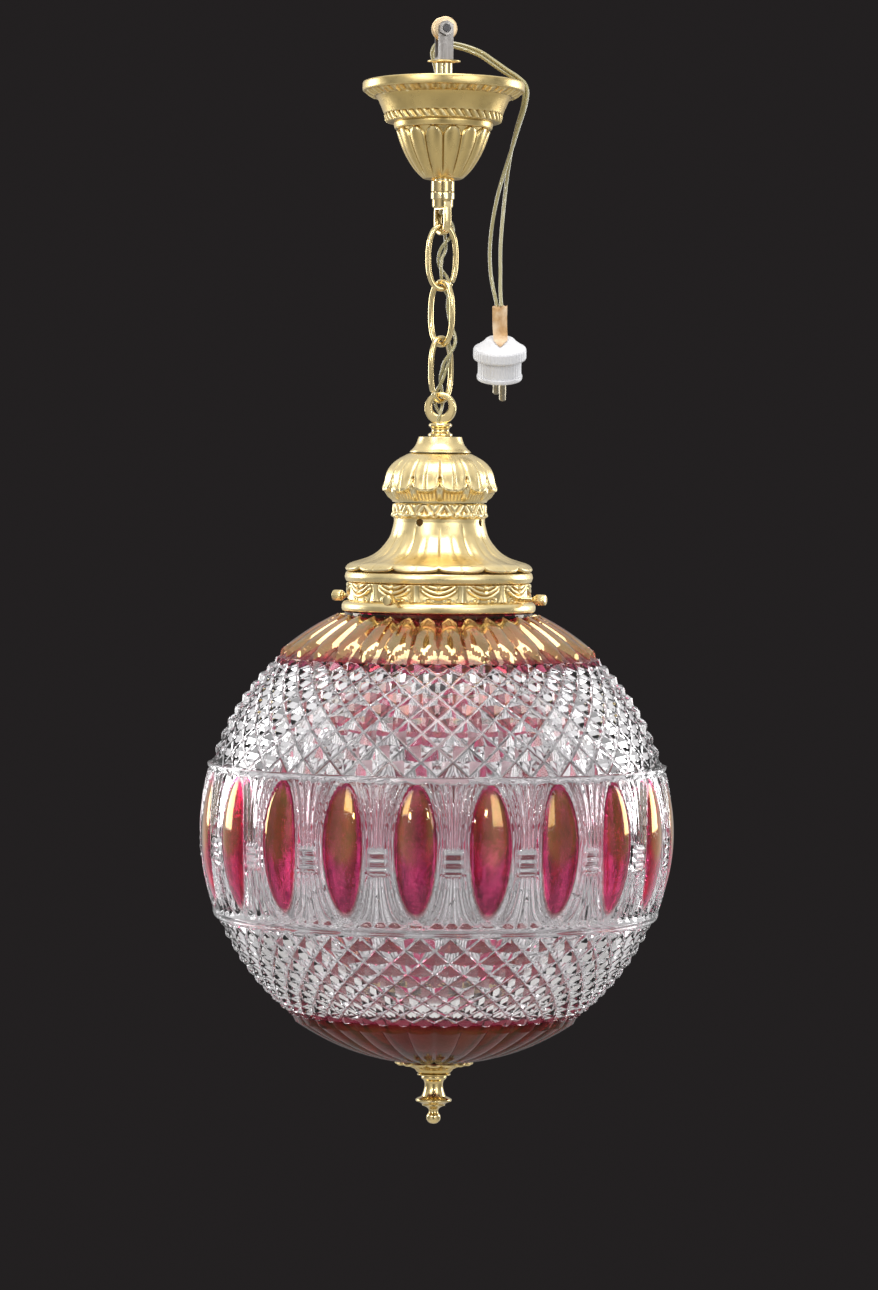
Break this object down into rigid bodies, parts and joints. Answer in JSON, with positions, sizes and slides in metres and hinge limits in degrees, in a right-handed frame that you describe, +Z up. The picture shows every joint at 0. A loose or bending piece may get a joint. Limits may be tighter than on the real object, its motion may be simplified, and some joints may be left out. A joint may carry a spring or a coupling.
{
  "type": "pendant lamp",
  "caption": "Pressed-glass globe lamp on a short brass chain, with a fluted canopy, flared cap and bottom finial.",
  "frame": {"origin": "centre of the roller that the ceiling hook carries; the axis of the pipe and globe passes through it", "axes": "+Z up, towards the ceiling; -Y towards the viewer's side, where a crown notch and a fitter palmette stand; +X to the right, where the flex hangs"},
  "size_m": [0.2844, 0.2844, 0.6581],
  "materials": {
    "satin_brass": "satin lacquered light gold",
    "polished_brass": "polished",
    "steel": "zinc plated, satin",
    "roller_metal": "cream gold, semi-matt",
    "pressed_glass": "pressed clear glass, cranberry and gold lustre bands",
    "opal_glass": "opal white",
    "phenolic": "moulded black",
    "clear_flex": "clear sheath over twisted copper and tinned strands",
    "white_plastic": "moulded white",
    "tan_paper": "kraft paper tab"
  },
  "bodies": {
    "hanger": {"hanger_strap": "steel", "roller_bolt": "steel", "roller_nut": "steel", "hanger_rivet": "steel", "hanger_flange": "satin_brass", "canopy_pipe": "satin_brass", "canopy_loop": "polished_brass", "cord_in_pipe": "clear_flex", "cord_inside": "clear_flex", "cord_at_loop": "clear_flex"},
    "roller": {"hanger_roller": "roller_metal"},
    "collar": {"canopy_collar": "polished_brass"},
    "canopy": {"canopy": "satin_brass", "cord_drop": "clear_flex", "cord_wrap": "tan_paper", "plug_grip": "white_plastic", "plug_body": "white_plastic", "plug_pin_front": "steel", "plug_pin_back": "steel"},
    "link_1": {"chain_link_1": "polished_brass", "cord_at_link_1": "clear_flex"},
    "link_2": {"chain_link_2": "polished_brass", "cord_at_link_2": "clear_flex"},
    "link_3": {"chain_link_3": "polished_brass", "cord_at_link_3": "clear_flex"},
    "lamp": {"cap_loop": "polished_brass", "centre_nipple": "satin_brass", "cap_collar": "polished_brass", "cap_crown": "satin_brass", "cap_bell": "satin_brass", "cap_nut": "steel", "fitter_ring": "satin_brass", "fitter_bar": "steel", "fitter_nut": "steel", "socket_cap": "satin_brass", "socket_insulator": "phenolic", "socket_shell": "satin_brass", "glass_globe": "pressed_glass", "finial_cup": "satin_brass", "finial_stud": "satin_brass", "finial_washer": "satin_brass", "finial_nut": "steel", "cord_in_cap": "clear_flex"},
    "screw_1": {"thumb_screw_1": "polished_brass"},
    "screw_2": {"thumb_screw_2": "polished_brass"},
    "screw_3": {"thumb_screw_3": "polished_brass"},
    "screw_4": {"thumb_screw_4": "polished_brass"},
    "bulb": {"bulb_base": "steel", "bulb_glass": "opal_glass"},
    "finial": {"finial_knob": "polished_brass"}
  },
  "joints": [
    {"name": "roller_turn", "type": "hinge", "parent": "hanger", "child": "roller", "pos_m": [0, 0, 0], "axis": [-0.1692, 0.9856, 0], "continuous": true},
    {"name": "collar_turn", "type": "hinge", "parent": "hanger", "child": "collar", "pos_m": [0, 0, -0.0932], "axis": [0, 0, 1], "continuous": true},
    {"name": "canopy_slide", "type": "slide", "parent": "hanger", "child": "canopy", "axis": [0, 0, 1], "range_m": [0, 0.025], "deforming": ["cord_inside"]},
    {"name": "link_1_swing", "type": "hinge", "parent": "hanger", "child": "link_1", "pos_m": [0, 0, -0.1205], "axis": [0.4267, -0.9044, 0], "range_deg": [-15, 10], "deforming": ["cord_at_loop"]},
    {"name": "link_2_swing", "type": "hinge", "parent": "link_1", "child": "link_2", "pos_m": [0, 0, -0.1539], "axis": [0.9664, 0.2571, 0], "range_deg": [-30, 30], "deforming": ["cord_at_link_1"]},
    {"name": "link_3_swing", "type": "hinge", "parent": "link_2", "child": "link_3", "pos_m": [0, 0, -0.187], "axis": [0.7518, -0.6594, 0], "range_deg": [-30, 30], "deforming": ["cord_at_link_2"]},
    {"name": "lamp_swing", "type": "hinge", "parent": "link_3", "child": "lamp", "pos_m": [0, 0, -0.2204], "axis": [0.6967, 0.7174, 0], "range_deg": [-35, 35], "deforming": ["cord_at_link_3"]},
    {"name": "screw_1_turn", "type": "hinge", "parent": "lamp", "child": "screw_1", "pos_m": [-0.0261, -0.05403, -0.3372], "axis": [-0.435, -0.9004, 0], "continuous": true},
    {"name": "screw_2_turn", "type": "hinge", "parent": "lamp", "child": "screw_2", "pos_m": [0.05403, -0.0261, -0.3372], "axis": [0.9004, -0.435, 0], "continuous": true},
    {"name": "screw_3_turn", "type": "hinge", "parent": "lamp", "child": "screw_3", "pos_m": [0.0261, 0.05403, -0.3372], "axis": [0.435, 0.9004, 0], "continuous": true},
    {"name": "screw_4_turn", "type": "hinge", "parent": "lamp", "child": "screw_4", "pos_m": [-0.05403, 0.0261, -0.3372], "axis": [-0.9004, 0.435, 0], "continuous": true},
    {"name": "bulb_turn", "type": "hinge", "parent": "lamp", "child": "bulb", "pos_m": [0, 0, -0.3672], "axis": [0, 0, 1], "continuous": true},
    {"name": "finial_turn", "type": "hinge", "parent": "lamp", "child": "finial", "pos_m": [0, 0, -0.6359], "axis": [0, 0, 1], "continuous": true}
  ]
}
